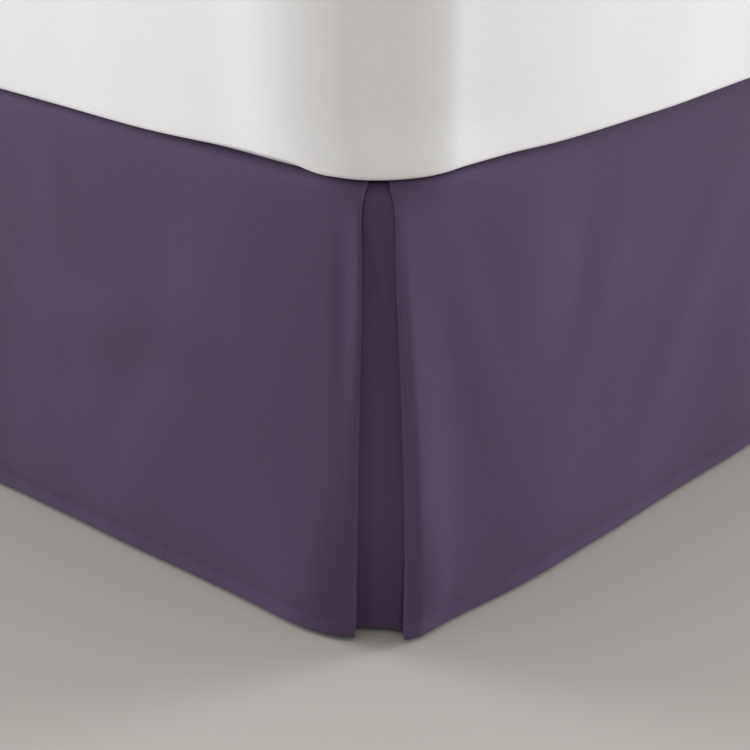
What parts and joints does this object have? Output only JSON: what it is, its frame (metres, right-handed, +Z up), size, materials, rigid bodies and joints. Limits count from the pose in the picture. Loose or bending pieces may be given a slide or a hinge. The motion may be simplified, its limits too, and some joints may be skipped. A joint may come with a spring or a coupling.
{
  "type": "bed skirt on a bed",
  "caption": "Tailored cloth bed skirt with an inverted pleat at each foot corner, hanging from a plain mattress and foundation on turned legs.",
  "frame": {"origin": "on the floor under the middle of the mattress", "axes": "+Z up, +Y from the foot of the bed to its head, +X to the right seen from the foot"},
  "size_m": [1.563, 2.044, 0.6376],
  "materials": {
    "skirt_cloth": "matte brushed microfibre with a very fine plain weave",
    "mattress_cover": "matte white woven cotton",
    "foundation_ticking": "matte woven ticking",
    "leg_wood": "stained, satin varnish"
  },
  "bodies": {
    "root": {"deck": "skirt_cloth", "foot_drop": "skirt_cloth", "side_drop_right": "skirt_cloth", "side_drop_left": "skirt_cloth", "corner_pleat_right": "skirt_cloth", "corner_pleat_left": "skirt_cloth", "mattress": "mattress_cover", "foundation": "foundation_ticking", "leg_foot_right": "leg_wood", "leg_foot_left": "leg_wood", "leg_middle_right": "leg_wood", "leg_middle_left": "leg_wood", "leg_head_right": "leg_wood", "leg_head_left": "leg_wood"}
  },
  "joints": []
}
